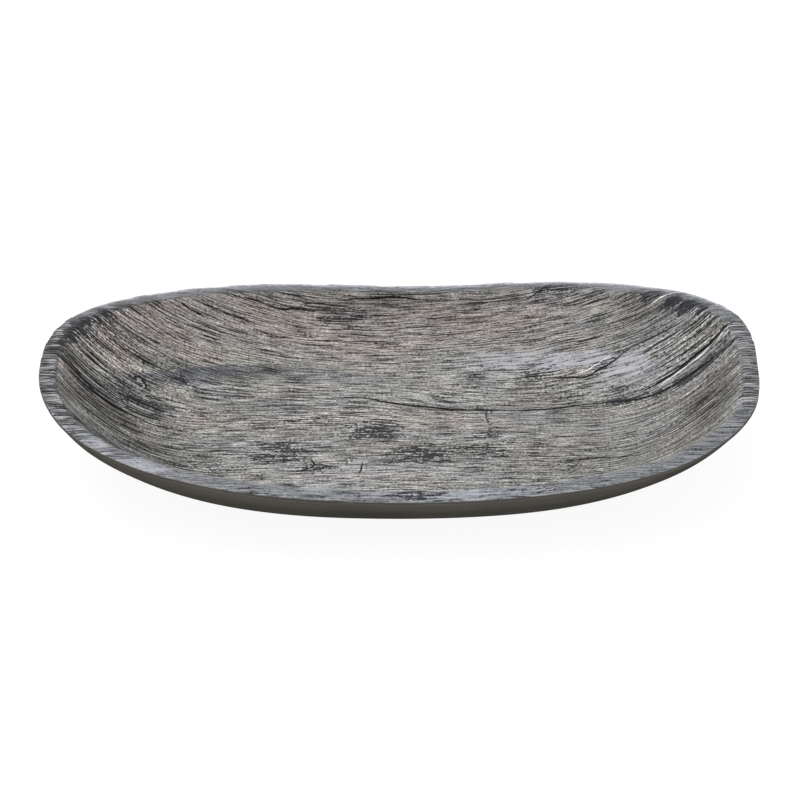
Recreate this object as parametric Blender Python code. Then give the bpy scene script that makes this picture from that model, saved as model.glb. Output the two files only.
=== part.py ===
"""Shallow oval serving bowl with a weathered wood look.

A thick moulded body carries a thinner wood-grain face layer, which covers its floor, its inner wall and the
land on top of its rim. Units are metres, +Z is up and +X runs along the bowl. The origin is on the table,
under the middle of the bowl. Every ring of points goes round counter-clockwise, seen from above.
"""

import math

import bmesh
import bpy
import numpy as np

# Rim: its outer edge seen from above, and its sweep seen from the side
LENGTH = 0.406
WIDTH = 0.229
SIDE_HEIGHT = 0.041  # outer edge above the table at the middle of a long side
END_RISE = 0.0165  # how much higher the edge sweeps at both ends
LEFT_FULLNESS = 2.51  # 2 makes the end an ellipse, and more makes it squarer
RIGHT_FULLNESS = 2.94
WAVE_COUNT = 8  # slow waves of a hewn edge, all the way round
WAVE_HEIGHT = 0.0005
WAVE_START = math.radians(20)

# Land: the flat top of the rim
LAND_WIDTH = 0.0095
LAND_FALL = 0.0020  # how much lower its outer edge is along the long sides
SEAT_ROUND = 0.0012  # how far the body's own inner corner is rounded
EDGE_ROUND = 0.0005  # the face layer's outer corner

# Inside: a flat oval floor and a wall that steepens towards the rim
FLOOR_LENGTH = 0.217
FLOOR_WIDTH = 0.111
FLOOR_SHIFT = 0.004  # the floor lies this far left of the middle
FLOOR_FULLNESS = 2.2
END_STEEPNESS = 2.4  # power of the wall's rise at the ends
SIDE_STEEPNESS = 2.15  # and along the sides

# Layers
FACE_THICKNESS = 0.0012
SEAT_GAP = 0.0003
WALL_THICKNESS = 0.0049  # of the body alone, at the floor
RIM_EDGE = 0.0006  # upright edge of the body, just under the face layer
FLARE = 3.5  # how late the underside leaves the inner wall's curve to reach the rim

# Underside: a flat ring to stand on, round a shallow recess
RING_WIDTH = 0.008
RECESS_DEPTH = 0.0015
RECESS_RAMP = 0.003  # width of the recess's sloping side
RECESS_ROUND = 0.0008

# Facets
TURN_STEPS = 80
WALL_STEPS = 8
SOFT_STEPS = 3

BODY_COLOUR = (0.082, 0.075, 0.068, 1.0)
FACE_COLOUR = (0.300, 0.283, 0.256, 1.0)

SEAT_DEPTH = FACE_THICKNESS + SEAT_GAP
FLOOR_HEIGHT = WALL_THICKNESS + SEAT_DEPTH
RIM_ROUND = SEAT_ROUND + SEAT_DEPTH

TURN = np.linspace(0, 2 * math.pi, TURN_STEPS, endpoint=False)
ALONG = np.cos(TURN)
ACROSS = np.sin(TURN)


def oval(half_length, half_width, left_fullness, right_fullness):
    """A superellipse in plan, whose two ends may differ in fullness."""
    fullness = np.where(ALONG > 0, right_fullness, left_fullness)
    reach = (np.abs(ALONG) ** fullness + np.abs(ACROSS) ** fullness) ** (-1 / fullness)
    return np.column_stack((half_length * reach * ALONG, half_width * reach * ACROSS))


def ring(plan, height):
    return np.column_stack((plan, np.broadcast_to(height, len(plan))))


def rim_ring(inset):
    """The rim's land at a distance in from its outer edge."""
    edge = oval(LENGTH / 2, WIDTH / 2, LEFT_FULLNESS, RIGHT_FULLNESS)
    plan = oval(LENGTH / 2 - inset, WIDTH / 2 - inset, LEFT_FULLNESS, RIGHT_FULLNESS)
    sweep = END_RISE * (edge[:, 0] / (LENGTH / 2)) ** 2
    wave = WAVE_HEIGHT * np.cos(WAVE_COUNT * (TURN - WAVE_START))
    tilt = LAND_FALL * ACROSS**2 * inset / LAND_WIDTH
    return ring(plan, SIDE_HEIGHT + sweep + wave + tilt)


def floor_ring(inset, height):
    """The floor's outline, or a smaller one inside it."""
    plan = oval(FLOOR_LENGTH / 2 - inset, FLOOR_WIDTH / 2 - inset, FLOOR_FULLNESS, FLOOR_FULLNESS)
    return ring(plan - np.array((FLOOR_SHIFT, 0)), height)


def wall_rings():
    """The inner wall, from the land's inner edge down to the floor."""
    top = rim_ring(LAND_WIDTH)
    foot = floor_ring(0, FLOOR_HEIGHT)
    steepness = SIDE_STEEPNESS + (END_STEEPNESS - SIDE_STEEPNESS) * ALONG**2
    rings = []
    for share in np.linspace(1, 0, WALL_STEPS + 1):
        plan = foot[:, :2] + (top[:, :2] - foot[:, :2]) * share
        rings.append(ring(plan, foot[:, 2] + (top[:, 2] - foot[:, 2]) * share**steepness))
    return rings


def unit(vectors):
    return vectors / np.linalg.norm(vectors, axis=-1, keepdims=True)


def soften(rings, index, distance):
    """Replaces one sharp ring by a curve that starts and ends at a distance from it."""
    corner = rings[index]
    start = corner + distance * unit(rings[index - 1] - corner)
    end = corner + distance * unit(rings[index + 1] - corner)
    curve = []
    for step in np.linspace(0, 1, SOFT_STEPS):
        curve.append((1 - step) ** 2 * start + 2 * step * (1 - step) * corner + step**2 * end)
    return rings[:index] + curve + rings[index + 1 :]


def lowered(rings, depth):
    """The same rings, sunk square to the surface. The first and the last sink straight down."""
    grid = np.array(rings)
    around = np.roll(grid, -1, axis=1) - np.roll(grid, 1, axis=1)
    inward = np.gradient(grid, axis=0)
    normals = unit(np.cross(around, inward))
    normals[0] = normals[-1] = (0, 0, 1)
    return list(grid - depth * normals)


def face_rings():
    """The surface that shows: land, rounded inner corner and wall, down to the floor's outline."""
    return soften([rim_ring(0)] + wall_rings(), 1, RIM_ROUND)


def underside_rings():
    """From the recess out over the flat ring, then up the outer wall to the rim's edge."""
    middle = floor_ring(RING_WIDTH + RECESS_RAMP, RECESS_DEPTH)
    centre = floor_ring(RING_WIDTH + 2 * RECESS_RAMP, RECESS_DEPTH)
    foot = soften([centre, middle, floor_ring(RING_WIDTH, 0), floor_ring(0, 0)], 2, RECESS_ROUND)
    foot = soften(foot, 1, RECESS_ROUND)

    edge = rim_ring(0) - np.array((0, 0, SEAT_DEPTH + RIM_EDGE))
    parallel = lowered(wall_rings(), FLOOR_HEIGHT)
    miss = edge - parallel[0]
    shares = np.linspace(1, 0, WALL_STEPS + 1)
    wall = [level + miss * share**FLARE for level, share in zip(parallel, shares)]
    return foot[:-1] + wall[::-1]


def loft(name, rings, material, collection):
    """One closed solid through all rings, with a flat cap on the first and the last."""
    mesh = bpy.data.meshes.new(name)
    form = bmesh.new()
    loops = [[form.verts.new(point) for point in level] for level in rings]
    for lower, upper in zip(loops, loops[1:]):
        for here in range(TURN_STEPS):
            after = (here + 1) % TURN_STEPS
            form.faces.new((lower[here], lower[after], upper[after], upper[here]))
    form.faces.new(reversed(loops[0]))
    form.faces.new(loops[-1])
    form.to_mesh(mesh)
    form.free()
    mesh.shade_smooth()
    mesh.set_sharp_from_angle(angle=math.radians(35))
    mesh.materials.append(material)
    collection.objects.link(bpy.data.objects.new(name, mesh))


def finish(name, colour, roughness):
    material = bpy.data.materials.new(name)
    material.use_nodes = True
    shader = material.node_tree.nodes["Principled BSDF"]
    shader.inputs["Base Color"].default_value = colour
    shader.inputs["Roughness"].default_value = roughness
    shader.inputs["Metallic"].default_value = 0.0
    return material


def moulded_body(collection):
    """The plain carrier, with a seat for the face layer over its inside and rim."""
    seat = lowered(face_rings(), SEAT_DEPTH)
    loft("moulded_body", underside_rings() + seat, finish("taupe_moulding", BODY_COLOUR, 0.5), collection)


def wood_grain_face(collection):
    """The layer that shows the grain, laid over the seat."""
    top = face_rings()
    back = lowered(top, FACE_THICKNESS)[::-1]
    rings = soften(back + top, len(back), EDGE_ROUND)
    loft("wood_grain_face", rings, finish("weathered_grain", FACE_COLOUR, 0.6), collection)


def main():
    for thing in list(bpy.data.objects):
        bpy.data.objects.remove(thing, do_unlink=True)
    bowl = bpy.data.collections.new("wood_look_salad_bowl")
    bpy.context.scene.collection.children.link(bowl)
    moulded_body(bowl)
    wood_grain_face(bowl)


main()
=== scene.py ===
"""Looks of the oval salad bowl: a weathered wood-grain face over a smooth, dark taupe moulding.

Both pieces are lofted again from the CAD form with much finer rings, and get their relief from seeded noise.
Lengths are in metres. The lists of marks on the grain are in millimetres, x along the bowl and y across it.
"""

import math

import bpy
import numpy as np
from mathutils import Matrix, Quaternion, Vector


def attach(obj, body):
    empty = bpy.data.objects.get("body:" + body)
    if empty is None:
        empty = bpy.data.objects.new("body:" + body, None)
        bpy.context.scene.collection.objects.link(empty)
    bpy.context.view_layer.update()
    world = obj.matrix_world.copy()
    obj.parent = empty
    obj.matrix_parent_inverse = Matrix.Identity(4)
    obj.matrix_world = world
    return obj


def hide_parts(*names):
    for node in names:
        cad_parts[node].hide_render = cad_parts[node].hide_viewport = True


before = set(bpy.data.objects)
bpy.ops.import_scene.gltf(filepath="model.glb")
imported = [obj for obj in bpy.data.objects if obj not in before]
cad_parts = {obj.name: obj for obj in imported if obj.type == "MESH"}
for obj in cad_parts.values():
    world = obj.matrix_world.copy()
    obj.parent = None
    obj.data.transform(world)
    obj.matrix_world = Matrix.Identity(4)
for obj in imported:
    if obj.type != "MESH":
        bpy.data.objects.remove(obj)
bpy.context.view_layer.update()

MM = 0.001

# Form, as in the CAD model
LENGTH = 0.406
WIDTH = 0.229
SIDE_HEIGHT = 0.041
END_RISE = 0.0165
LEFT_FULLNESS = 2.51
RIGHT_FULLNESS = 2.94
WAVE_COUNT = 8
WAVE_HEIGHT = 0.0005
WAVE_START = math.radians(20)
LAND_WIDTH = 0.0095
LAND_FALL = 0.0020
CORNER_ROUND = 0.0027
FLOOR_LENGTH = 0.217
FLOOR_WIDTH = 0.111
FLOOR_SHIFT = 0.004
FLOOR_FULLNESS = 2.2
FLOOR_HEIGHT = 0.0064
END_STEEPNESS = 2.4
SIDE_STEEPNESS = 2.15
FACE_THICKNESS = 0.0012
SEAT_GAP = 0.0003
EDGE_ROUND = 0.0005
BODY_EDGE = 0.0005
BODY_LIP = 0.0006  # how far the body's upper edge is rounded inwards
FLARE = 3.5
RING_WIDTH = 0.008
RECESS_DEPTH = 0.0015
RECESS_RAMP = 0.003
RECESS_ROUND = 0.0012

# Mesh
LONG_STEPS = 150
CROSS_STEPS = 400
FLOOR_SHARE = 0.55  # part of the way out from the middle that lies on the floor
CORNER_STEPS = 6
CORNER_PROBE = 0.1  # share of the wall that is measured to place the rounded corner
LAND_STEPS = 10
EDGE_STEPS = 3
RAMP_STEPS = 5
SPLINE_STEPS = 6
ARC_STEPS = 200
BODY_TURNS = 960
CAD_WALL_STEPS = 8  # the outer wall is a smooth curve through the CAD model's own rings
RECESS_INSETS = (0.02, 0.01, 0.004, RECESS_ROUND)  # rings of the recess's flat middle, in from its ramp
RING_INSETS = (0.005, 0.003, 0.001)  # rings of the flat that the bowl stands on
HIDDEN_INSETS = (0.003, LAND_WIDTH)  # rings on the unseen sides between the layers: under the land
HIDDEN_SHARES = np.linspace(0.9, 0, 10)  # and down the wall
FOOT_DROP = 0.0007  # how far the face's edge goes on below its rounding
LATTICE = 256

# Relief
FURROW_DEPTH = 0.00028
CHECK_DEPTH = 0.00016
HEWN_DEPTH = 0.00025
CRACK_DEPTH = 0.00035
RIDGE_HEIGHT = 0.0003
DIP = (0.1, 0.6)  # how low the noise is where a furrow starts and where it is deepest
FAR_FLATNESS = 0.5  # share of the furrows' depth that is missing up the far wall
LINE_REACH = 0.005  # how far to its sides a crack or splinter is tracked
LINE_OVERLAP = 0.0004  # how far past its ends each leg of a line still counts
LINE_SPREAD = 1.3  # width of a line's relief over the width of its colour
LINE_SLOPE = 0.16
LINE_FADE = 0.4  # share of the reach over which a line's width fades out
WEAR_DEPTH = 0.0005
WEAR_INSET = 0.0004
WEAR_REACH = 0.006  # how far in from the rim's edge the wear goes
WEAR_STEP = 0.008
WEAR_JUMP = 3.7  # cells of noise from one step to the next
WEAR_STEP_STRENGTH = 1.4
WEAR_BEHIND = (-0.2, 0.3)  # sine of the turn where steps take over from waves
RIM_LENGTH_FACTOR = 1.6  # the rim's length over the bowl's length plus width
RIM_CLEARANCE = 0.00005  # keeps the rim just inside the CAD model's box

# Bends of the grain: a broad one on the right of the floor, then slow and quick ones everywhere
FLOW_BEND = 0.012
FLOW_START = (-0.03, 0.05)
FLOW_MIDDLE = 0.036
FLOW_SPREAD = 0.022
SLOW_BEND = 0.0020
QUICK_BEND = 0.0005
LINE_WOBBLE = 0.0006
FAR_FINENESS = 0.65  # how much finer the grain is up the far wall

# Noise of the relief: cell length, cell width, seed and number of sizes
FURROWS = (0.080, 0.0032, 21, 2)
CHECKS = (0.045, 0.0018, 25, 2)
HEWING = (0.11, 0.024, 41, 2)
SLOW_BENDS = (0.09, 0.05, 11, 2)
QUICK_BENDS = (0.022, 0.012, 14, 2)
WOBBLES = (0.012, 0.02, 51, 2)
WEAR_SHIFTS = (0.03, 1.0, 31, 2)
WEAR_STEPS = (1.0, 1.0, 34, 1)
WEAR_WAVES = (0.018, 1.0, 37, 2)
FOLD_EDGE = (14, 6, 81, 2)  # in millimetres
BLOTCH_CELL = (0.012, 0.005)
BLOTCH_RAGGEDNESS = 0.6
BLOTCH_REACH = 1.25
BLOTCH_FADE = 0.9
STAIN_SEED = 61
PALE_SEED = 65
SHADE_SEED = 71
WARM_SEED = 75

# Zones of the face, each from where it starts to where it is full. Along the bowl, from the middle:
ENDS = (0.11, 0.17)
LEFT_END = (0.08, 0.17)
NEAR_LEFT_ALONG = (0.07, 0.13)
# Across the bowl, from the middle line:
NEAR_LEFT_ACROSS = (0.0, 0.03)
FRONT = (0.03, 0.06)
BEHIND = (0.04, 0.075)
FAR_WALL = (0.06, 0.085)
FLANKS = (0.03, 0.058)
THIN_STRIPES = (0.018, 0.035)
# By the turn's cosine and sine and by the radius, where the near wall blends into the land:
BLEND_ALONG = (-0.75, -0.3)
BLEND_ACROSS = (0.3, 0.8)
BLEND_RADIUS = (0.9, 1.0)

# Uneven places of the rim: turn and spread in degrees, and how far the rim is lifted there
RIM_LIFTS = ((117, 14, 0.7), (62, 16, 0.9), (42, 8, 0.5), (263, 9, 0.8), (308, 8, 0.7))

# Places where the rim stands in a little: turn and spread in degrees, and how far
RIM_INSETS = ((200, 15, 1.5), (224, 11, 0.8), (323, 10, 1.0))

# Cracks: half width, then the points that one runs through
CRACKS = (
    (0.9, ((-57, 45), (-41, 44), (-22, 44), (-9, 40), (6, 36), (18, 34), (27, 32), (41, 31), (75, 31),
           (93, 33), (106, 35), (118, 34.8))),
    (0.8, ((193, 26), (187, 27), (175, 29.5), (162, 30), (151, 29.5), (139, 31), (123, 34.5), (114, 35))),
    (1.15, ((194, 46), (187, 43), (182, 41.5), (173, 41.2), (166, 40.8), (160, 39.2), (148, 37.5),
            (139, 36))),
    (0.6, ((82, 60.5), (91, 60), (99, 58.5), (108, 57), (117, 60.5), (129, 64.5), (135, 66))),
    (0.7, ((-39, 101), (-21, 102), (-4, 103), (13, 102))),
    (0.5, ((-60, 98), (-49, 99), (-40, 99), (-29, 99))),
    (0.6, ((-80, 95), (-70, 95), (-61, 96), (-49, 96))),
    (0.6, ((-93, 96), (-88, 96), (-81, 96))),
    (0.45, ((-130, 86), (-122, 85), (-114, 85))),
    (0.45, ((-119, 89), (-106, 89), (-98, 88), (-89, 89))),
    (0.4, ((-117, 77), (-112, 77), (-107, 76))),
    (0.35, ((-141, 72), (-136, 71), (-129, 70))),
    (0.4, ((-147, 65), (-144, 65), (-139, 65))),
    (0.35, ((-81, 84), (-72, 84), (-64, 85))),
    (0.35, ((-18, 85), (-11, 85), (-5, 85))),
    (0.35, ((2, 98), (8, 98), (13, 98))),
    (0.35, ((11, 95), (18, 95), (25, 95))),
    (0.35, ((-117, 43), (-97, 45), (-76, 46))),
    (0.45, ((73, 99), (79, 100), (85, 102), (91, 105))),
    (0.75, ((86, -23), (98, -21), (112, -20), (126, -21.5), (140, -25))),
    (0.8, ((-193, 19), (-187, 16), (-182, 13.5), (-177, 11.5), (-172, 10), (-163, 9.5), (-150, 10),
           (-118, 8))),
    (0.5, ((-155, 37), (-152, 41), (-147, 39), (-148, 35))),
    (0.45, ((51, 31), (50, 27), (51, 20), (53, 14))),
    (0.6, ((-50, -19), (-48, -27), (-61, -34))),
    (0.5, ((-20, -22), (-21, -31), (-23, -36))),
    (0.3, ((-31, -17), (-29, -22), (-30, -27))),
)

# Raised splinter ridges, each painted with a highlight, in the same form
RIDGES = (
    (0.5, ((188, 40.8), (180, 39.1), (173, 38.4), (165, 38), (156, 36.2), (148, 35.3))),
    (0.5, ((146, 82), (150, 82), (155, 83), (161, 86), (172, 86))),
    (0.4, ((100, 60.5), (104, 60.2), (108, 60.8), (113, 63), (119, 65.5), (126, 68))),
    (0.25, ((-153, 37), (-151, 39), (-148, 37), (-151, 34))),
)

# Stains: middle, half length, half width and strength
STAINS = (
    (-16, 9, 20, 10, 1.1),
    (-2, 12, 9, 9, 0.7),
    (12, -15, 19, 13, 1.12),
    (48, -12, 24, 9, 0.78),
    (52, 8, 10, 6, 0.95),
    (-65, -9, 18, 9, 0.95),
    (-68, -17, 20, 9, 0.8),
    (-47, -29, 15, 7, 0.85),
    (-192, 26, 4, 7, 1.1),
    (-189, 35, 4.5, 7, 1.3),
    (-185, 43, 5, 6, 1.3),
    (-181, 50, 5, 6, 1.3),
    (-176, 56, 5.5, 5, 1.2),
    (-170, 62, 6, 5, 1.1),
    (-148, 25, 16, 11, 0.75),
    (-128, 47, 22, 7, 0.35),
    (-32, 95, 18, 4, 0.65),
    (146, 87, 9, 4, 1.3),
    (160, 78, 7, 5, 1.6),
    (167, 72, 7, 5, 1.6),
    (175, 65, 6, 4, 1.2),
    (98, -27, 12, 5, 0.7),
    (188, 31, 6, 7, 0.8),
    (178, 29, 10, 5, 0.9),
    (164, 30, 10, 5, 0.9),
    (150, 29.5, 10, 4, 0.9),
    (136, 31, 12, 4, 0.9),
    (120, 34, 14, 4, 0.7),
    (177, 16, 7, 4, 0.7),
    (10, -109, 16, 4, 1.0),
    (80, -106, 10, 4, 0.6),
    (-52, 21, 20, 6, 0.5),
    (63, -2, 10, 5, 0.6),
    (95, 101, 26, 6, 0.6),
    (84, 101.5, 10, 3, 1.1),
    (-7, 105, 24, 4, 0.3),
    (-111, -30, 13, 6, 0.6),
    (78, 63, 18, 6, 0.7),
    (120, 62, 11, 3, 0.7),
)

# Areas where dark lines crowd and the grain is darker, partly its darker print and partly painted shade:
# middle, half length, half width and strength
SHADES = (
    (-178, 14, 20, 20, 1.75),
    (-168, 0, 26, 18, 1.75),
    (-148, 24, 22, 16, 1.3),
    (-32, 95, 22, 5, 1.0),
    (-140, -14, 50, 16, 1.0),
    (-150, -50, 50, 30, 1.35),
    (-199, 0, 10, 70, 1.3),
    (-186, 52, 7, 9, 1.1),
    (-177, 63, 8, 8, 1.1),
    (-164, 75, 10, 7, 1.2),
    (-150, 83, 11, 6, 1.2),
    (-134, 91, 13, 5, 1.1),
    (-112, 99, 16, 5, 0.8),
    (-188, -20, 7, 20, 1.1),
    (-178, -42, 9, 14, 1.3),
    (-163, -66, 14, 10, 1.3),
    (-145, -80, 16, 7, 1.2),
    (-125, -90, 18, 6, 0.9),
    (-30, 100, 120, 8, 0.6),
    (176, 0, 22, 60, 0.8),
    (199, 0, 12, 70, 0.6),
    (160, 32, 34, 10, 0.6),
    (150, 80, 40, 12, 0.8),
    (-20, -8, 120, 34, 0.32),
    (110, -30, 80, 50, 0.5),
    (40, 33, 60, 4, 0.8),
    (112, 34, 40, 5, 1.0),
    (88, 38, 45, 32, 0.55),
    (-86, 38, 40, 30, 0.5),
    (-140, -22, 35, 24, 1.25),
    (-125, -75, 50, 24, 0.7),
)

# The fold at the foot of the far wall, with painted shade on its near side: points along it, with the
# strength at each
FOLD = ((-165, 36, 0.0), (-151, 45, 1.0), (-137, 53, 1.0), (-125, 59, 1.0), (-111, 64, 1.0), (-95, 68, 0.9),
        (-77, 70, 0.7), (-59, 71, 0.6), (-45, 71, 0.5), (-30, 69, 0.4), (12, 64, 0.0))
FOLD_REACH = 15
FOLD_SHARPNESS = 1.2
FOLD_FADE = 0.3  # share of the reach where the shade starts to fade

# Paler patches, partly paler print and partly painted sheen: middle, half length, half width and strength
PALE_PRINT_AND_SHEEN = (
    (66, 75, 26, 5, 0.8),
    (92, 69, 28, 5, 1.3),
    (118, 64, 16, 4, 0.9),
    (132, 55, 17, 8, 1.3),
    (146, 47, 12, 7, 0.8),
    (72, 65, 20, 3, 0.6),
    (164, 35, 24, 3, 1.0),
    (-20, -30, 60, 12, 0.3),
    (40, -108, 20, 6, 0.5),
    (-138, -91, 20, 8, 0.8),
    (-165, -75, 12, 10, 0.6),
)

# Warmer, pinkish grain: middle, half length, half width and strength
WARMS = (
    (-140, 70, 40, 12, 1.0),
    (-60, 88, 100, 14, 1.0),
    (40, 92, 80, 12, 0.8),
    (-187, 5, 9, 16, 1.0),
    (-166, 52, 13, 14, 0.9),
    (-115, 20, 25, 10, 0.7),
    (-20, -36, 40, 8, 0.8),
    (-30, 24, 40, 8, 0.6),
    (30, 20, 40, 8, 0.6),
    (176, 8, 12, 16, 1.0),
)

# Noise of the grain's colour: cells to a metre along and across the grain, detail, roughness and distortion
GRAIN_NOISE = {
    "long": (58, 880, 2.0, 0.55, 0.1),
    "even": (44, 960, 1.0, 0.5, 0.1),
    "short": (240, 760, 2.0, 0.6, 0.0),
    "dash": (24, 700, 1.0, 0.5, 0.1),
    "grit": (700, 1100, 2.0, 0.6, 0.0),
    "bands": (7, 40, 2.0, 0.5, 0.0),
    "tint": (16, 45, 1.0, 0.5, 0.0),
    "stripe": (26, 1060, 1.0, 0.5, 0.0),
    "thin_stripe": (30, 1250, 1.0, 0.5, 0.0),
    "clumps": (18, 150, 1.0, 0.5, 0.0),
    "rib": (90, 1150, 0.0, 0.5, 0.0),
    "split": (12, 560, 1.0, 0.5, 0.1),
}
GRAIN_MASKS = ("stain", "shade", "fold", "pale", "warm", "ends", "lined", "corner", "ribbed", "flank", "far",
               "land", "lip", "edge")

# Spans of a noise's values, from all of them to those round its middle
WHOLE = (0.2, 0.8)
WIDE = (0.25, 0.75)
USUAL = (0.3, 0.7)
MIDDLE = (0.35, 0.65)

# Screen colours of the grain, from 0 to 255
FIBRE_DARK = (36, 35, 34)
FIBRE_PALE = (193, 192, 188)
FAR_HAZE = (168, 165, 162)
PALE_AND_SHEEN = (192, 192, 200)
RIM_DARK = (54, 57, 62)
RIM_PALE = (164, 167, 173)
RIM_FLECK = (188, 192, 200)
RIM_SPECK = (70, 73, 80)
RIM_PALE_AND_SHEEN = (200, 203, 212)
TICK_DARK = (14, 15, 18)
TICK_PALE = (214, 217, 223)
LIP_HIGHLIGHT = (214, 216, 226)
DASH_DARK = (22, 21, 21)
DASH_PALE = (190, 187, 183)
STRIPE_DARK = (14, 13, 13)
STRIPE_PALE = (172, 168, 164)
SPLIT_DARK = (26, 25, 25)
STAIN_DARK = (33, 35, 42)
CORNER_SHADE = (40, 38, 36)
SPLINTER_HIGHLIGHT = (230, 230, 231)
CRACK_DARK = (12, 12, 13)
EDGE_TAUPE = (84, 81, 76)

# Tints that multiply the grain's colour; the fold's tint is painted shade
COOL_TINT = (0.98, 0.995, 1.025, 1)
MILD_TINT = (1.02, 1.0, 0.975, 1)
WARM_TINT = (1.085, 0.993, 0.98, 1)
FOLD_SHADE_TINT = (0.45, 0.48, 0.54, 1)

# The plain moulding
MOULDING_DARK = (88, 85, 79)
MOULDING_PALE = (97, 94, 87)
CLOUD_CELLS = (14, 14, 30)
PEEL_CELLS = (900, 900, 900)
PEEL_HEIGHT = 0.00004
GRAIN_HEIGHT = 0.0003
GLOSS = 0.15  # specular level of both materials

# Camera and light
AIM = Vector((0.001, 0, 0.0331))
CAMERA_DISTANCE = 2.0
CAMERA_HEIGHT_ANGLE = math.radians(32.745)
CAMERA_TURN = math.radians(1.349)
CAMERA_ROLL = math.radians(-0.778)
LENS = 158.4
TENT_RAMPS = ((-0.4, -0.02, 0.0, 4.4), (-0.02, 0.05, 4.4, 0.75))  # the tent's light by height: the lower one
SOFTBOXES = (("softbox_top", (-0.3, -0.1, 1.8), 1.6, 14), ("softbox_back", (-1.1, 1.3, 1.6), 0.9, 8))
GROUND_SIZE = 6
GROUND_DROP = 0.0001
GROUND_GREY = 0.14
GROUND_GLOW = 0.92
GROUND_ROUGHNESS = 0.9
WHITE = (1, 1, 1, 1)


def linear(red, green, blue):
    """A screen colour, from 0 to 255, as the numbers that shaders use."""
    values = []
    for level in (red, green, blue):
        share = level / 255
        values.append(share / 12.92 if level < 11 else ((share + 0.055) / 1.055) ** 2.4)
    return (*values, 1.0)


def smooth(value, low, high):
    """0 below low, 1 above high and an even rise between."""
    share = np.clip((value - low) / (high - low), 0, 1)
    return share * share * (3 - 2 * share)


def lattice_noise(along, across, seed):
    """Gradient noise from about -1 to 1, with cells one unit wide."""
    angles = np.random.default_rng(seed).uniform(0, 2 * math.pi, (LATTICE, LATTICE))
    column = np.floor(along).astype(int)
    row = np.floor(across).astype(int)
    right = along - column
    up = across - row
    ease_right = right**3 * (right * (right * 6 - 15) + 10)
    ease_up = up**3 * (up * (up * 6 - 15) + 10)
    total = 0
    for column_step in (0, 1):
        for row_step in (0, 1):
            angle = angles[(column + column_step) % LATTICE, (row + row_step) % LATTICE]
            slope = np.cos(angle) * (right - column_step) + np.sin(angle) * (up - row_step)
            weight = (ease_right if column_step else 1 - ease_right) * (ease_up if row_step else 1 - ease_up)
            total = total + slope * weight
    return total * math.sqrt(2)


def fractal(along, across, length, width, seed, sizes=3):
    """Noise in several sizes, the coarsest with cells of this length and width."""
    total = 0
    for size in range(sizes):
        finer = 2**size
        total = total + lattice_noise(along / length * finer, across / width * finer, seed + size) / finer
    return total


def oval(turn, half_length, half_width, left_fullness, right_fullness):
    """A superellipse in plan, whose two ends may differ in fullness."""
    along = np.cos(turn)
    across = np.sin(turn)
    fullness = np.where(along > 0, right_fullness, left_fullness)
    reach = (np.abs(along) ** fullness + np.abs(across) ** fullness) ** (-1 / fullness)
    return np.stack((half_length * reach * along, half_width * reach * across), -1)


def raised(plan, height):
    """Points in plan, set at a height."""
    return np.concatenate((plan, np.broadcast_to(height, plan.shape[:-1])[..., None]), -1)


def swells(turn, places):
    """Soft swells along the rim, from a list of their turns, spreads and heights."""
    total = 0
    for middle, spread, height in places:
        away = np.mod(np.degrees(turn) - middle + 180, 360) - 180
        total = total + height * MM * np.exp(-((away / spread) ** 2))
    return total


def land(turn, inset):
    """The rim's flat top, at a distance in from its outer edge."""
    edge = oval(turn, LENGTH / 2, WIDTH / 2, LEFT_FULLNESS, RIGHT_FULLNESS)
    plan = oval(turn, LENGTH / 2 - inset, WIDTH / 2 - inset, LEFT_FULLNESS, RIGHT_FULLNESS)
    sweep = END_RISE * (edge[..., 0] / (LENGTH / 2)) ** 2
    wave = WAVE_HEIGHT * np.cos(WAVE_COUNT * (turn - WAVE_START))
    tilt = LAND_FALL * np.sin(turn) ** 2 * inset / LAND_WIDTH
    plan = plan * (1 - swells(turn, RIM_INSETS) / np.linalg.norm(plan, axis=-1))[..., None]
    return raised(plan, SIDE_HEIGHT + sweep + wave + tilt + swells(turn, RIM_LIFTS))


def floor_oval(turn, inset, height):
    """The floor's outline, or a smaller one inside it."""
    plan = oval(turn, FLOOR_LENGTH / 2 - inset, FLOOR_WIDTH / 2 - inset, FLOOR_FULLNESS, FLOOR_FULLNESS)
    return raised(plan - np.array((FLOOR_SHIFT, 0)), height)


def wall(turn, share):
    """The inner wall, from the floor at share 0 to the land's inner edge at share 1."""
    share = np.broadcast_to(share, turn.shape)
    top = land(turn, LAND_WIDTH)
    foot = floor_oval(turn, 0, FLOOR_HEIGHT)
    steepness = SIDE_STEEPNESS + (END_STEEPNESS - SIDE_STEEPNESS) * np.cos(turn) ** 2
    plan = foot[..., :2] + (top[..., :2] - foot[..., :2]) * share[..., None]
    return raised(plan, foot[..., 2] + (top[..., 2] - foot[..., 2]) * share**steepness)


def unit(vectors):
    """The same directions, one unit long."""
    return vectors / np.linalg.norm(vectors, axis=-1, keepdims=True)


def down(distance):
    """A step straight down, to add to points."""
    return np.array((0, 0, -distance))


def inward(ring):
    """Level directions from a ring's points to the bowl's middle."""
    return unit(np.concatenate((-ring[:, :2], np.zeros((len(ring), 1))), -1))


def corner_share(turn):
    """Where on the wall the rounded inner corner of the rim ends."""
    run = np.linalg.norm(wall(turn, 1.0) - wall(turn, 1.0 - CORNER_PROBE), axis=-1)
    return 1 - CORNER_PROBE * CORNER_ROUND / run


def up_steps(steps):
    """Even steps up to 1, without the 0 that they start from."""
    return np.linspace(0, 1, steps + 1)[1:]


def curve(start, corner, end, steps):
    """Rings of a soft curve between two rings, pulled towards a corner. The first is left out."""
    return [(1 - step) ** 2 * start + 2 * step * (1 - step) * corner + step**2 * end
            for step in up_steps(steps)]


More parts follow.
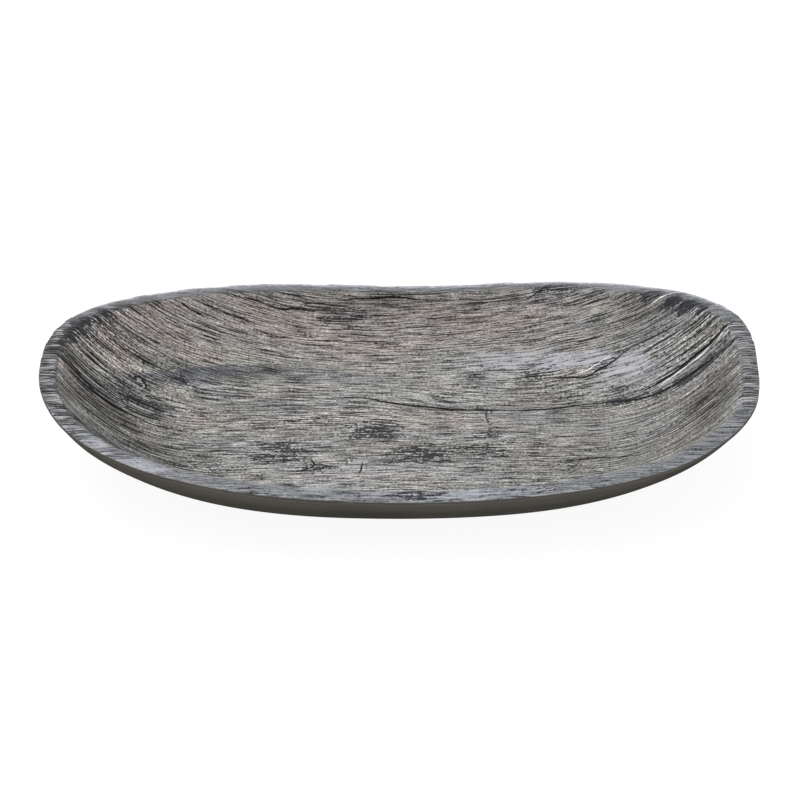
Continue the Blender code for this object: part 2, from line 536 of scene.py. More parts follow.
def inside(turn, radius):
    """The bowl's inside, from the middle of its floor at radius 0 to the rim's rounded corner at 1."""
    climb = np.clip((radius - FLOOR_SHARE) / (1 - FLOOR_SHARE), 0, 1)
    middle = np.array((-FLOOR_SHIFT, 0, FLOOR_HEIGHT))
    spread = np.clip(radius / FLOOR_SHARE, 0, 1)[..., None]
    flat = middle + (floor_oval(turn, 0, FLOOR_HEIGHT) - middle) * spread
    return np.where((climb > 0)[..., None], wall(turn, climb * corner_share(turn)), flat)


def grain_grid():
    """A square grid laid over a round disc: its rows follow the grain. Gives turn and radius."""
    along, across = np.meshgrid(np.linspace(-1, 1, LONG_STEPS + 1), np.linspace(-1, 1, CROSS_STEPS + 1))
    disc_along = along * np.sqrt(1 - across**2 / 2)
    disc_across = across * np.sqrt(1 - along**2 / 2)
    return np.arctan2(disc_across, disc_along), np.hypot(disc_along, disc_across)


def border(grid):
    """The outer points of a grid, counter-clockwise from its lower left corner."""
    return np.concatenate((grid[0, :-1], grid[:-1, -1], grid[-1, :0:-1], grid[:0:-1, 0]))


def normals(points, closed=False):
    """Unit normals of a grid of points. The rows of a closed grid are rings."""
    across_rows = np.gradient(points, axis=0)
    if closed:
        along_rows = np.roll(points, -1, 1) - np.roll(points, 1, 1)
    else:
        along_rows = np.gradient(points, axis=1)
    found = unit(np.cross(along_rows, across_rows) + 1e-15)
    return found * np.sign(found[..., 2].mean())


def sunk(points, square, depth):
    """Points pushed in along their normals, less where the wall is steep and the layer therefore thin."""
    return points - square * (depth * np.abs(square[..., 2]))[..., None]


def spline(path):
    """More points on a smooth line through a few given ones."""
    points = np.array(path, float)
    padded = np.concatenate((2 * points[:1] - points[1:2], points, 2 * points[-1:] - points[-2:-1]))
    fine = []
    for before, start, end, after in zip(padded, padded[1:], padded[2:], padded[3:]):
        for share in np.arange(SPLINE_STEPS) / SPLINE_STEPS:
            pull = (end - before) * share + (2 * before - 5 * start + 4 * end - after) * share**2
            fine.append(start + 0.5 * (pull + (3 * start - before - 3 * end + after) * share**3))
    return np.array(fine + [points[-1]])


def next_line(sheet, lines):
    """How far each point lies to the side of the line next to it, from -1 to 1, and how wide that line is."""
    side = np.ones(sheet.shape[:-1])
    width = np.zeros(sheet.shape[:-1])
    for half_width, path in lines:
        points = spline(path) * MM
        points[:, 1] = unrolled(points[:, 1])
        count = len(points) - 1
        for index in range(count):
            leg = points[index + 1] - points[index]
            away = sheet - points[index]
            share = away @ leg / (leg @ leg)
            past = np.abs(share - np.clip(share, 0, 1)) * np.linalg.norm(leg)
            gap = (leg[0] * away[..., 1] - leg[1] * away[..., 0]) / np.linalg.norm(leg) / LINE_REACH
            done = (index + np.clip(share, 0, 1)) / count
            taper = np.sqrt(np.sin(math.pi * np.clip(done, 0.01, 0.99)))
            here = half_width * MM / LINE_REACH * taper * smooth(1 - np.abs(gap), 0, LINE_FADE)
            nearer = (np.abs(gap) < np.abs(side)) & (past < LINE_OVERLAP)
            side = np.where(nearer, gap, side)
            width = np.where(nearer, here, width)
    return side, width


def line_relief(side, width):
    """1 in the middle of a crack or splinter, down to 0 just outside it."""
    return smooth(LINE_SPREAD * width - np.abs(side), 0, LINE_SLOPE)


def blotches(plan, marks, seed):
    """Soft uneven patches, from a list of their middles, half sizes and strengths."""
    uneven = BLOTCH_RAGGEDNESS * fractal(plan[..., 0], plan[..., 1], *BLOTCH_CELL, seed)
    along = plan[..., 0] / MM
    across = plan[..., 1] / MM
    total = np.zeros(plan.shape[:-1])
    for middle_x, middle_y, half_length, half_width, strength in marks:
        reach = np.hypot((along - middle_x) / half_length, (across - middle_y) / half_width)
        total = np.maximum(total, strength * smooth(BLOTCH_REACH - reach + uneven, 0, BLOTCH_FADE))
    return total


def folded(plan):
    """The shade under the fold: sharp along its crest, fading away from it."""
    along = plan[..., 0] / MM
    across = plan[..., 1] / MM
    crest_along, crest_across, strength = np.array(FOLD).T
    uneven = FOLD_SHARPNESS * fractal(along, across, *FOLD_EDGE)
    below = np.interp(along, crest_along, crest_across) - across + uneven
    fade = 1 - smooth(below, FOLD_FADE * FOLD_REACH, FOLD_REACH)
    return np.interp(along, crest_along, strength) * smooth(below, 0, FOLD_SHARPNESS) * fade


def unrolled(across):
    """How far a point lies from the middle line, measured along the floor and up the side wall."""
    reach = np.linspace(0, WIDTH / 2, ARC_STEPS)
    share = np.clip((reach - FLOOR_WIDTH / 2) / (WIDTH / 2 - LAND_WIDTH - FLOOR_WIDTH / 2), 0, 1)
    height = (SIDE_HEIGHT - FLOOR_HEIGHT) * share**SIDE_STEEPNESS
    arc = np.concatenate(((0,), np.cumsum(np.hypot(np.diff(reach), np.diff(height)))))
    return np.sign(across) * np.interp(np.abs(across), reach, arc)


def grain_place(points):
    """Where each point lies on the sheet of grain: along it, and across it with the grain's bends."""
    along = points[..., 0]
    across = points[..., 1]
    flow = FLOW_BEND * smooth(along, *FLOW_START) * np.exp(-(((across - FLOW_MIDDLE) / FLOW_SPREAD) ** 2))
    across = unrolled(across) + flow
    slow = SLOW_BEND * fractal(along, across, *SLOW_BENDS)
    quick = QUICK_BEND * fractal(along, across, *QUICK_BENDS)
    return np.stack((along, across + slow + quick, 0 * along), -1)


def print_place(place):
    """The place on the printed sheet, whose grain is finer up the far wall."""
    up_wall = np.maximum(place[..., 1] - FLOOR_WIDTH / 2, 0)
    return place + FAR_FINENESS * np.stack((0 * up_wall, up_wall, 0 * up_wall), -1)


def rim_wear(turn):
    """How much each spot of the rim's edge is worn, from 0 to 1: small steps behind, soft waves in front."""
    arc = turn / (2 * math.pi) * (LENGTH + WIDTH) * RIM_LENGTH_FACTOR
    row = arc * 0 + 0.5
    shift = 0.6 * fractal(arc, arc, *WEAR_SHIFTS)
    steps = fractal(np.floor(arc / WEAR_STEP + shift) * WEAR_JUMP, row, *WEAR_STEPS)
    waves = fractal(arc, row, *WEAR_WAVES)
    behind = smooth(np.sin(turn), *WEAR_BEHIND)
    return np.clip(0.5 + 0.5 * (behind * steps * WEAR_STEP_STRENGTH + (1 - behind) * waves), 0, 1)


def grain_depth(place, far, on_land, crack, ridge):
    """How deep furrows, checks, hewn unevenness and cracks lie. Splinters stand out."""
    along = place[..., 0]
    across = place[..., 1]
    furrow = (1 - FAR_FLATNESS * far) * fractal(along, across, *FURROWS)
    check = fractal(along, across, *CHECKS)
    hewn = 0.5 + 0.5 * fractal(along, across, *HEWING)
    depth = FURROW_DEPTH * smooth(-furrow, *DIP) + CHECK_DEPTH * smooth(-check, *DIP)
    depth = depth + HEWN_DEPTH * hewn * (1 - on_land)
    return depth + CRACK_DEPTH * crack - RIDGE_HEIGHT * ridge


def grain_marks(points, on_land):
    """The depth of the grain's relief at each point, its place on the print, and the masks to paint by."""
    place = grain_place(points)
    along = place[..., 0]
    across = place[..., 1]
    plan = points[..., :2]
    aside = np.abs(points[..., 1])
    wobble = LINE_WOBBLE * fractal(along, across, *WOBBLES)
    sheet = np.stack((along, unrolled(points[..., 1]) + wobble), -1)
    crack_side, crack_width = next_line(sheet, CRACKS)
    ridge_side, ridge_width = next_line(sheet, RIDGES)

    ends = smooth(np.abs(along), *ENDS)
    left = smooth(-along, *LEFT_END)
    near_left = smooth(-along, *NEAR_LEFT_ALONG) * smooth(-across, *NEAR_LEFT_ACROSS)
    far = smooth(across, *FAR_WALL)
    behind = smooth(points[..., 1], *BEHIND)
    flanking = smooth(aside, *FLANKS)
    front_land = on_land * smooth(-across, *FRONT)
    masks = {
        "crack_side": crack_side,
        "crack_width": crack_width,
        "ridge_side": ridge_side,
        "ridge_width": ridge_width,
        "stain": blotches(plan, STAINS, STAIN_SEED),
        "shade": blotches(plan, SHADES, SHADE_SEED) * (1 - 0.75 * front_land),
        "fold": folded(plan),
        "pale": blotches(plan, PALE_PRINT_AND_SHEEN, PALE_SEED),
        "warm": blotches(plan, WARMS, WARM_SEED),
        "ends": ends,
        "lined": np.maximum(ends, 0.8 * near_left) * (1 - 0.65 * far) * (1 - 0.8 * on_land * flanking),
        # Where the rim's inner corner gets painted shade: the left end, and weaker along the far side
        "corner": np.maximum(left, 0.45 * behind),
        "ribbed": (0.75 * ends + 0.25 * left) * (1 - (0.9 - 0.4 * near_left) * flanking),
        "flank": smooth(aside, *THIN_STRIPES),
        "far": far,
    }
    crack = line_relief(crack_side, crack_width)
    ridge = line_relief(ridge_side, ridge_width)
    return grain_depth(place, far, on_land, crack, ridge), print_place(place), masks


def build_mesh(name, points, faces, attributes):
    """A smooth mesh object with number and vector attributes on its points."""
    mesh = bpy.data.meshes.new(name)
    mesh.from_pydata(points.tolist(), [], faces)
    mesh.validate()
    for label, values in attributes.items():
        kind, field = ("FLOAT_VECTOR", "vector") if values.ndim == 2 else ("FLOAT", "value")
        layer = mesh.attributes.new(label, kind, "POINT")
        layer.data.foreach_set(field, np.ascontiguousarray(values, np.float32).ravel())
    mesh.shade_smooth()
    piece = bpy.data.objects.new(name, mesh)
    bpy.context.scene.collection.objects.link(piece)
    return piece


def strip_faces(lower, upper):
    """Faces between two closed loops of point numbers."""
    return np.stack((lower, np.roll(lower, -1), np.roll(upper, -1), upper), -1).tolist()


def fan_faces(loop, tip):
    """Faces between a closed loop of point numbers and one point."""
    return np.stack((loop, np.roll(loop, -1), np.full(len(loop), tip)), -1).tolist()


def seat_rings(turn, depth):
    """Rings on the unseen sides of the joint between the layers, from the rim to the floor."""
    rings = [land(turn, inset) + down(depth) for inset in HIDDEN_INSETS]
    return rings + [wall(turn, share) + down(depth) for share in HIDDEN_SHARES]


def rim_strips(loop):
    """The rim's rings that show: its rounded inner corner, its land and its rounded outer edge."""
    corner_end = wall(loop, corner_share(loop))
    corner_start = land(loop, LAND_WIDTH - CORNER_ROUND)
    strips = curve(corner_end, land(loop, LAND_WIDTH), corner_start, CORNER_STEPS)
    insets = np.linspace(LAND_WIDTH - CORNER_ROUND, EDGE_ROUND, LAND_STEPS + 1)[1:]
    strips += [land(loop, inset) for inset in insets]
    rim = land(loop, 0)
    strips += curve(strips[-1], rim, rim + down(EDGE_ROUND), EDGE_STEPS)
    return np.array(strips)


def worn_rim(strips, loop, depth):
    """The rim's rings with the grain's relief and the wear of the outer edge."""
    wear = rim_wear(loop)
    rim = land(loop, 0)
    nearness = np.clip(1 - np.linalg.norm(strips - rim, axis=-1) / WEAR_REACH, 0, 1)
    worn = sunk(strips, normals(strips, closed=True), depth)
    worn = worn + (nearness**2 * wear * WEAR_INSET)[..., None] * inward(rim)
    worn[..., 2] -= nearness**1.5 * wear * WEAR_DEPTH + RIM_CLEARANCE
    return worn


def rim_share(corner, top, edge, shape):
    """Values for the rim's rings, from those of its corner, its land and its outer edge."""
    return np.broadcast_to(np.concatenate((corner, top, edge))[:, None], shape)


def gathered(basin_values, rim_values, hidden_values):
    """Values for all points of the face: its basin, its rim and then its unseen side."""
    listed = (-1,) + hidden_values.shape[1:]
    return np.concatenate((basin_values.reshape(listed), rim_values.reshape(listed), hidden_values))


def grain_face():
    """The face layer: a fine grid over the inside, then strips round the rim and down its unseen side."""
    turn, radius = grain_grid()
    basin = inside(turn, radius)
    loop = border(turn)
    strips = rim_strips(loop)

    on_rim = strips.shape[:2]
    in_basin = np.zeros(basin.shape[:2])
    on_land = rim_share(up_steps(CORNER_STEPS), np.ones(LAND_STEPS), np.ones(EDGE_STEPS), on_rim)
    on_lip = rim_share(np.zeros(CORNER_STEPS), up_steps(LAND_STEPS), np.ones(EDGE_STEPS), on_rim)
    on_edge = rim_share(np.zeros(CORNER_STEPS), np.zeros(LAND_STEPS), up_steps(EDGE_STEPS), on_rim)
    basin_depth, basin_place, basin_masks = grain_marks(basin, in_basin)
    rim_depth, rim_place, rim_masks = grain_marks(strips, on_land)

    worn_basin = sunk(basin, normals(basin), basin_depth)
    worn_strips = worn_rim(strips, loop, rim_depth)
    back = np.array([worn_strips[-1] + down(FOOT_DROP)] + seat_rings(loop, FACE_THICKNESS))
    centre = np.array((-FLOOR_SHIFT, 0, FLOOR_HEIGHT - FACE_THICKNESS))
    hidden = np.concatenate((back.reshape(-1, 3), centre[None]))
    points = gathered(worn_basin, worn_strips, hidden)

    numbers = np.arange(in_basin.size).reshape(in_basin.shape)
    corners = (numbers[:-1, :-1], numbers[:-1, 1:], numbers[1:, 1:], numbers[1:, :-1])
    faces = np.stack(corners, -1).reshape(-1, 4).tolist()
    rings = np.arange(numbers.size, len(points) - 1).reshape(-1, len(loop))
    loops = [border(numbers), *rings]
    for lower, upper in zip(loops, loops[1:]):
        faces += strip_faces(upper, lower)
    faces += fan_faces(loops[-1][::-1], len(points) - 1)

    unseen = np.zeros(len(hidden))
    attributes = {"grain": gathered(basin_place, rim_place, 0 * hidden)}
    for label in basin_masks:
        attributes[label] = gathered(basin_masks[label], rim_masks[label], unseen)
    near = smooth(-np.sin(turn), *BLEND_ACROSS) * smooth(np.cos(turn), *BLEND_ALONG)
    attributes["land"] = gathered(0.5 * near * smooth(radius, *BLEND_RADIUS), on_land, unseen)
    # Where the far lip gets its painted highlight
    attributes["lip"] = gathered(in_basin, on_lip * smooth(strips[..., 1], *BEHIND), unseen)
    attributes["edge"] = gathered(in_basin, on_edge, unseen + 1)
    return build_mesh("weathered_face", points, faces, attributes)


def underside(turn):
    """Rings from the recess's flat middle over its ramp to the flat that the bowl stands on."""
    ramp_width = RING_WIDTH + RECESS_RAMP
    rings = [floor_oval(turn, ramp_width + inset, RECESS_DEPTH) for inset in RECESS_INSETS]
    ramp_top = floor_oval(turn, ramp_width, RECESS_DEPTH)
    ramp_middle = floor_oval(turn, RING_WIDTH + RECESS_RAMP / 2, RECESS_DEPTH / 2)
    ramp_foot = floor_oval(turn, RING_WIDTH, 0)
    rings += curve(rings[-1], ramp_top, ramp_middle, RAMP_STEPS)
    rings += curve(ramp_middle, ramp_foot, floor_oval(turn, RING_WIDTH - RECESS_ROUND, 0), RAMP_STEPS)
    return rings + [floor_oval(turn, inset, 0) for inset in RING_INSETS]


def outer_wall(turn):
    """Rings up the outer wall and over the body's upper edge, which follows the worn rim."""
    shares = np.linspace(0, 1, CAD_WALL_STEPS + 1)
    grid = np.array([wall(turn, share) for share in shares])
    square = normals(grid, closed=True)
    square[0] = square[-1] = (0, 0, 1)
    parallel = grid - FLOOR_HEIGHT * square
    wear = rim_wear(turn)
    rim = land(turn, 0)
    rim[:, 2] -= wear * WEAR_DEPTH + FACE_THICKNESS
    rim = rim + (wear * WEAR_INSET)[:, None] * inward(rim)
    edge = rim + down(BODY_EDGE)
    miss = edge - parallel[-1]
    outer = [level + miss * share**FLARE for level, share in zip(parallel, shares)]
    return list(spline(outer)) + curve(edge, rim, rim + inward(rim) * BODY_LIP, EDGE_STEPS)


def moulded_body():
    """The plain carrier: recess, standing ring and outer wall, with the seat under the face layer."""
    turn = np.linspace(0, 2 * math.pi, BODY_TURNS, endpoint=False)
    seat_depth = FACE_THICKNESS + SEAT_GAP
    rings = underside(turn) + outer_wall(turn) + seat_rings(turn, seat_depth)
    below = (-FLOOR_SHIFT, 0, RECESS_DEPTH)
    above = (-FLOOR_SHIFT, 0, FLOOR_HEIGHT - seat_depth)
    points = np.concatenate((np.array(rings).reshape(-1, 3), (below, above)))
    loops = np.arange(len(rings) * BODY_TURNS).reshape(len(rings), BODY_TURNS)
    faces = fan_faces(loops[0][::-1], loops.size) + fan_faces(loops[-1], loops.size + 1)
    for lower, upper in zip(loops, loops[1:]):
        faces += strip_faces(lower, upper)
    return build_mesh("taupe_body", points, faces, {})


class Recipe:
    """The nodes of one material. Each method adds one step and gives the socket of its result."""

    def __init__(self, name):
        self.material = bpy.data.materials.new(name)
        self.material.use_nodes = True
        self.tree = self.material.node_tree
        self.shader = self.tree.nodes["Principled BSDF"]

    def feed(self, socket, value):
        """Links a socket to the result of a step, or sets it to a number or a colour."""
        if isinstance(value, bpy.types.NodeSocket):
            self.tree.links.new(value, socket)
        else:
            socket.default_value = value

    def attribute(self, name, output="Fac"):
        node = self.tree.nodes.new("ShaderNodeAttribute")
        node.attribute_name = name
        return node.outputs[output]

    def position(self):
        return self.tree.nodes.new("ShaderNodeTexCoord").outputs["Object"]

    def math(self, operation, first, second):
        node = self.tree.nodes.new("ShaderNodeMath")
        node.operation = operation
        self.feed(node.inputs[0], first)
        self.feed(node.inputs[1], second)
        return node.outputs[0]

    def plus(self, first, second):
        return self.math("ADD", first, second)

    def minus(self, first, second):
        return self.math("SUBTRACT", first, second)

    def times(self, first, second):
        return self.math("MULTIPLY", first, second)

    def noise(self, place, cells, detail, roughness=0.5, distortion=0.0):
        """Noise from 0 to 1, with this many cells to a metre along each axis."""
        scaled = self.tree.nodes.new("ShaderNodeVectorMath")
        scaled.operation = "MULTIPLY"
        self.feed(scaled.inputs[0], place)
        self.feed(scaled.inputs[1], cells)
        node = self.tree.nodes.new("ShaderNodeTexNoise")
        self.feed(node.inputs["Vector"], scaled.outputs[0])
        self.feed(node.inputs["Scale"], 1.0)
        self.feed(node.inputs["Detail"], detail)
        self.feed(node.inputs["Roughness"], roughness)
        self.feed(node.inputs["Distortion"], distortion)
        return node.outputs["Fac"]

    def rise(self, value, low, high, bottom=0.0, top=1.0):
        """Goes smoothly from bottom to top while the value goes from low to high."""
        node = self.tree.nodes.new("ShaderNodeMapRange")
        node.interpolation_type = "SMOOTHSTEP"
        self.feed(node.inputs["Value"], value)
        for label, number in (("From Min", low), ("From Max", high), ("To Min", bottom), ("To Max", top)):
            self.feed(node.inputs[label], number)
        return node.outputs["Result"]

    def above(self, value, low, high, strength=1.0):
        """0 while the value is under low, and the full strength once it is over high."""
        return self.rise(value, low, high, 0.0, strength)

    def below(self, value, low, high, strength=1.0):
        """The full strength while the value is under low, and 0 once it is over high."""
        return self.rise(value, low, high, strength, 0.0)

    def spread(self, value, low, high, reach, middle=0.0):
        """Goes from this reach under the middle to as much over it."""
        return self.rise(value, low, high, middle - reach, middle + reach)

    def blend(self, share, first, second, mode="MIX"):
        node = self.tree.nodes.new("ShaderNodeMix")
        node.data_type = "RGBA"
        node.blend_type = mode
        self.feed(node.inputs[0], share)
        self.feed(node.inputs[6], first)
        self.feed(node.inputs[7], second)
        return node.outputs[2]

    def tinted(self, share, colour, tint):
        """The colour multiplied by a tint or a number, as far as the share says."""
        return self.blend(share, colour, tint, "MULTIPLY")

    def bump(self, height, distance, strength):
        node = self.tree.nodes.new("ShaderNodeBump")
        self.feed(node.inputs["Strength"], strength)
        self.feed(node.inputs["Distance"], distance)
        self.feed(node.inputs["Height"], height)
        self.feed(self.shader.inputs["Normal"], node.outputs["Normal"])


def grain_noise(recipe):
    """All the noise that the grain is painted with, by name."""
    place = recipe.attribute("grain", "Vector")
    noise = {}
    for name, (along, across, detail, roughness, distortion) in GRAIN_NOISE.items():
        noise[name] = recipe.noise(place, (along, across, along), detail, roughness, distortion)
    return noise


def inside_colour(recipe, noise, mask, fibre, stripe, shade):
    """The grain of the floor and the walls, without its lines and stains, with painted shade below the fold
    and painted sheen on the paler patches.
    """
    low = recipe.rise(shade, 0.2, 1.5, 0.29, 0.40)
    high = recipe.rise(shade, 0.2, 1.5, 0.71, 0.58)
    colour = recipe.blend(recipe.rise(fibre, low, high), linear(*FIBRE_DARK), linear(*FIBRE_PALE))
    colour = recipe.blend(recipe.times(mask["far"], 0.12), colour, linear(*FAR_HAZE))
    for name in ("grit", "short"):
        colour = recipe.tinted(1.0, colour, recipe.spread(noise[name], *USUAL, 0.3, 1.0))
    colour = recipe.tinted(mask["lined"], colour, recipe.spread(noise["grit"], *MIDDLE, 0.3, 1.0))
    colour = recipe.tinted(mask["lined"], colour, recipe.rise(stripe, 0.36, 0.64, 0.72, 1.2))
    tint = recipe.blend(recipe.rise(noise["tint"], *MIDDLE), COOL_TINT, MILD_TINT)
    colour = recipe.tinted(1.0, colour, tint)
    colour = recipe.tinted(mask["warm"], colour, WARM_TINT)
    # Painted shade below the fold, darker and bluer
    colour = recipe.tinted(mask["fold"], colour, FOLD_SHADE_TINT)
    # Paler patches: partly paler print, partly painted sheen
    pale = recipe.times(mask["pale"], recipe.rise(fibre, 0.3, 0.6, 0.3, 0.8))
    return recipe.blend(pale, colour, linear(*PALE_AND_SHEEN))


def rim_colour(recipe, noise, mask, fibre):
    """The paler, bluer grain of the land: flecked, ticked at the ends, with painted sheen on its paler
    patches and a painted highlight along the far lip.
    """
    short = noise["short"]
    rib = recipe.plus(noise["rib"], recipe.spread(noise["clumps"], *MIDDLE, 0.06))
    colour = recipe.blend(recipe.rise(fibre, *WHOLE), linear(*RIM_DARK), linear(*RIM_PALE))
    flecks = recipe.times(recipe.above(short, 0.5, 0.66, 0.3), recipe.below(mask["ends"], 0.0, 1.0))
    colour = recipe.blend(flecks, colour, linear(*RIM_FLECK))
    colour = recipe.blend(recipe.below(short, 0.34, 0.48, 0.25), colour, linear(*RIM_SPECK))
    ticks = recipe.times(recipe.below(rib, 0.48, 0.53), recipe.plus(mask["ribbed"], 0.15))
    colour = recipe.blend(ticks, colour, linear(*TICK_DARK))
    ticks = recipe.times(recipe.above(rib, 0.56, 0.60), mask["ribbed"])
    colour = recipe.blend(ticks, colour, linear(*TICK_PALE))
    # Paler patches on the land: partly paler print, partly painted sheen
    colour = recipe.blend(recipe.times(mask["pale"], 0.6), colour, linear(*RIM_PALE_AND_SHEEN))
    # A painted highlight along the far lip, broken up by noise
    lip = recipe.plus(mask["lip"], recipe.spread(short, *USUAL, 0.25))
    return recipe.blend(recipe.above(lip, 0.45, 0.8, 0.7), colour, linear(*LIP_HIGHLIGHT))


def grain_lines(recipe, noise, mask, stripe, shade, colour):
    """Dark dashes, stripes and long splits over the grain, with pale ones between them."""

    def dark(source, crowding, thinning, low, high, strength):
        """Lines where the noise is lowest: this much easier in the shade and up the far wall."""
        line = recipe.minus(source, recipe.times(shade, crowding))
        line = recipe.minus(line, recipe.times(mask["far"], thinning))
        return recipe.below(line, low, high, strength)

    dash = noise["dash"]
    lined = mask["lined"]
    quiet = recipe.rise(mask["land"], 0.3, 0.9, 1.0, 0.25)
    dashes = dark(dash, 0.055, 0.07, 0.27, 0.31, 0.92)
    stripes = dark(stripe, 0.01, 0.0, 0.39, 0.44, 1.0)
    splits = dark(noise["split"], 0.02, 0.04, 0.25, 0.28, 0.95)
    layers = (
        (dashes, quiet, DASH_DARK),
        (recipe.above(dash, 0.61, 0.66, 0.65), recipe.rise(shade, 0.3, 1.2), DASH_PALE),
        (stripes, lined, STRIPE_DARK),
        (recipe.above(stripe, 0.58, 0.63, 0.6), lined, STRIPE_PALE),
        (splits, quiet, SPLIT_DARK),
    )
    for lines, share, tone in layers:
        colour = recipe.blend(recipe.times(lines, share), colour, linear(*tone))
    return colour


def stroke(recipe, name, rough):
    """1 inside the nearest crack or splinter and 0 outside, with a slightly torn edge."""
    width = recipe.attribute(name + "_width")
    torn = recipe.plus(width, recipe.spread(rough, *USUAL, 0.06))
    within = recipe.minus(torn, recipe.math("ABSOLUTE", recipe.attribute(name + "_side"), 0.0))
    return recipe.times(recipe.rise(within, -0.01, 0.03), recipe.rise(width, 0.01, 0.06))


def grain_blemishes(recipe, noise, mask, colour):
    """Speckled stains, painted shade along the rim's inner corner, a painted highlight on each splinter,
    cracks and the plain outer edge.
    """
    short = noise["short"]
    flecks = recipe.plus(recipe.spread(noise["grit"], *WHOLE, 0.6), recipe.spread(short, *WHOLE, 0.6))
    flecks = recipe.plus(flecks, recipe.spread(noise["long"], *WHOLE, 0.7))
    spots = recipe.minus(mask["stain"], flecks)
    colour = recipe.blend(recipe.above(spots, 0.35, 0.8, 0.88), colour, linear(*STAIN_DARK))
    # Painted shade in the rim's rounded inner corner, broken up by clumps
    corner_shade = recipe.times(recipe.above(mask["land"], 0.1, 0.35), recipe.below(mask["land"], 0.35, 0.7, 0.7))
    corner_shade = recipe.times(corner_shade, recipe.rise(noise["clumps"], 0.35, 0.6, 0.45, 1.0))
    colour = recipe.blend(recipe.times(corner_shade, mask["corner"]), colour, linear(*CORNER_SHADE))
    # A painted highlight along each raised splinter
    splinter_highlights = recipe.times(stroke(recipe, "ridge", short), 0.95)
    colour = recipe.blend(splinter_highlights, colour, linear(*SPLINTER_HIGHLIGHT))
    colour = recipe.blend(stroke(recipe, "crack", short), colour, linear(*CRACK_DARK))
    return recipe.blend(recipe.rise(mask["edge"], 0.2, 0.7), colour, linear(*EDGE_TAUPE))


def weathered_grain():
    """Grey weathered wood print with dark dashes, stains and cracks, paler and bluer on the rim."""
    recipe = Recipe("weathered_grain")
    noise = grain_noise(recipe)
    mask = {name: recipe.attribute(name) for name in GRAIN_MASKS}
    fine = recipe.blend(mask["lined"], noise["long"], noise["even"])
    fibre = recipe.plus(fine, recipe.spread(noise["grit"], *WIDE, 0.07))
    stripe = recipe.blend(mask["flank"], noise["stripe"], noise["thin_stripe"])
    shade = recipe.plus(mask["shade"], recipe.spread(noise["bands"], *USUAL, 0.18))
    shade = recipe.minus(shade, recipe.times(mask["warm"], 0.25))

    colour = inside_colour(recipe, noise, mask, fibre, stripe, shade)
    on_land = recipe.plus(mask["land"], recipe.spread(noise["short"], *USUAL, 0.25))
    colour = recipe.blend(recipe.above(on_land, *WHOLE, 0.9), colour, rim_colour(recipe, noise, mask, fibre))
    # Darker where the shade is high: partly the grain's darker print, partly painted shade
    colour = recipe.tinted(1.0, colour, recipe.rise(shade, -0.3, 1.8, 1.0, 0.26))
    colour = grain_lines(recipe, noise, mask, stripe, shade, colour)
    colour = grain_blemishes(recipe, noise, mask, colour)

    recipe.feed(recipe.shader.inputs["Base Color"], colour)
    recipe.feed(recipe.shader.inputs["Roughness"], recipe.rise(fibre, *MIDDLE, 0.58, 0.42))
    recipe.shader.inputs["Specular IOR Level"].default_value = GLOSS
    recipe.bump(recipe.plus(fibre, noise["dash"]), GRAIN_HEIGHT, 0.5)
    return recipe.material


def taupe_moulding():
    """Dark satin moulding resin, faintly clouded, with a fine orange peel."""
    recipe = Recipe("taupe_moulding")
    place = recipe.position()
    clouds = recipe.noise(place, CLOUD_CELLS, 3.0)
    peel = recipe.noise(place, PEEL_CELLS, 2.0)
    colour = recipe.blend(recipe.rise(clouds, *MIDDLE), linear(*MOULDING_DARK), linear(*MOULDING_PALE))
    recipe.feed(recipe.shader.inputs["Base Color"], colour)
    recipe.feed(recipe.shader.inputs["Roughness"], recipe.rise(peel, *USUAL, 0.54, 0.62))
    recipe.shader.inputs["Specular IOR Level"].default_value = GLOSS
    recipe.bump(peel, PEEL_HEIGHT, 0.3)
    return recipe.material


def light_tent():
    """A white tent of light, darker below."""
    world = bpy.data.worlds.new("light_tent")
    world.use_nodes = True
    nodes = world.node_tree.nodes
    links = world.node_tree.links
    direction = nodes.new("ShaderNodeTexCoord").outputs["Generated"]
    height = nodes.new("ShaderNodeSeparateXYZ")
    links.new(direction, height.inputs[0])
    lower = nodes.new("ShaderNodeMath")
    lower.operation = "MINIMUM"
    for index, ramp in enumerate(TENT_RAMPS):
        fade = nodes.new("ShaderNodeMapRange")
        links.new(height.outputs["Z"], fade.inputs["Value"])
        for label, number in zip(("From Min", "From Max", "To Min", "To Max"), ramp):
            fade.inputs[label].default_value = number
        links.new(fade.outputs["Result"], lower.inputs[index])
    links.new(lower.outputs[0], nodes["Background"].inputs["Strength"])
    nodes["Background"].inputs["Color"].default_value = WHITE
    bpy.context.scene.world = world


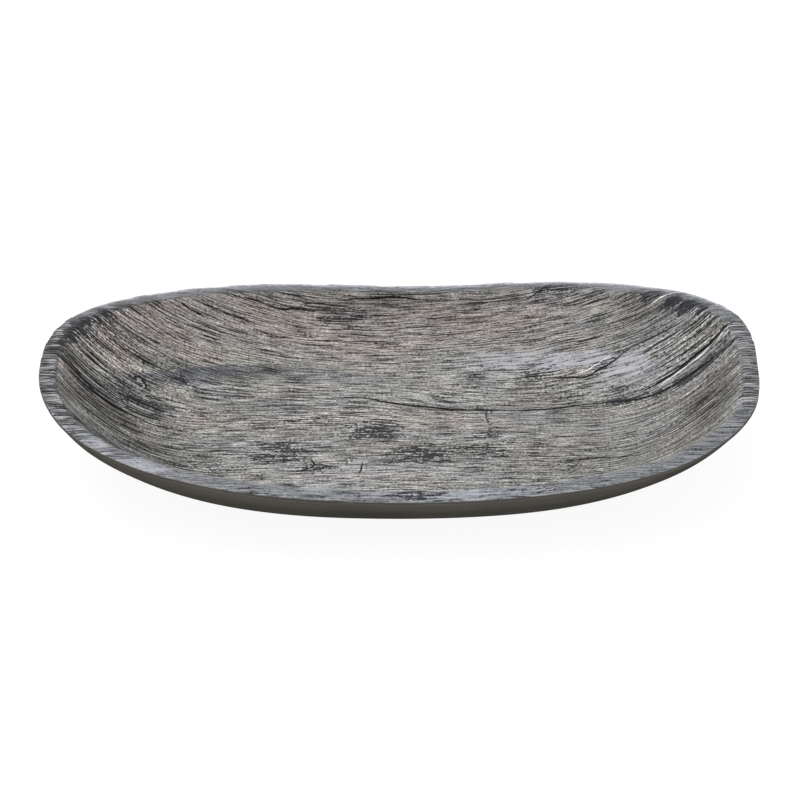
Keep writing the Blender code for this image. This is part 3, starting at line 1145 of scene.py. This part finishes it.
def pale_ground():
    """The white floor under the bowl. It throws no light on it."""
    bpy.ops.mesh.primitive_plane_add(size=GROUND_SIZE, location=(0, 0, -GROUND_DROP))
    ground = bpy.context.object
    ground.name = "studio_floor"
    white = bpy.data.materials.new("studio_floor")
    white.use_nodes = True
    shader = white.node_tree.nodes["Principled BSDF"]
    shader.inputs["Base Color"].default_value = (GROUND_GREY, GROUND_GREY, GROUND_GREY, 1)
    shader.inputs["Roughness"].default_value = GROUND_ROUGHNESS
    shader.inputs["Specular IOR Level"].default_value = 0.0
    shader.inputs["Emission Color"].default_value = WHITE
    shader.inputs["Emission Strength"].default_value = GROUND_GLOW
    ground.data.materials.append(white)
    ground.visible_diffuse = False
    ground.visible_glossy = False


def studio():
    """Tent, floor, a soft lamp above and one behind on the left."""
    scene = bpy.context.scene
    scene.view_settings.view_transform = "Standard"
    light_tent()
    pale_ground()
    for name, place, size, power in SOFTBOXES:
        light = bpy.data.lights.new(name, "AREA")
        light.size = size
        light.energy = power
        lamp = bpy.data.objects.new(name, light)
        lamp.location = place
        lamp.rotation_euler = (AIM - Vector(place)).to_track_quat("-Z", "Y").to_euler()
        scene.collection.objects.link(lamp)


def camera():
    """The photograph's viewpoint: level with the long side, turned and rolled a little."""
    level = math.cos(CAMERA_HEIGHT_ANGLE)
    height = math.sin(CAMERA_HEIGHT_ANGLE)
    away = Vector((level * math.sin(CAMERA_TURN), -level * math.cos(CAMERA_TURN), height))
    lens = bpy.data.cameras.new("photo_camera")
    lens.lens = LENS
    viewer = bpy.data.objects.new("photo_camera", lens)
    viewer.location = AIM + away * CAMERA_DISTANCE
    viewer.rotation_mode = "QUATERNION"
    viewer.rotation_quaternion = (-away).to_track_quat("-Z", "Y") @ Quaternion((0, 0, 1), CAMERA_ROLL)
    bpy.context.scene.collection.objects.link(viewer)
    bpy.context.scene.camera = viewer


def main():
    face = grain_face()
    face.data.materials.append(weathered_grain())
    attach(face, "root")
    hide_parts("wood_grain_face")

    body = moulded_body()
    body.data.materials.append(taupe_moulding())
    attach(body, "root")
    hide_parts("moulded_body")

    studio()
    camera()


main()
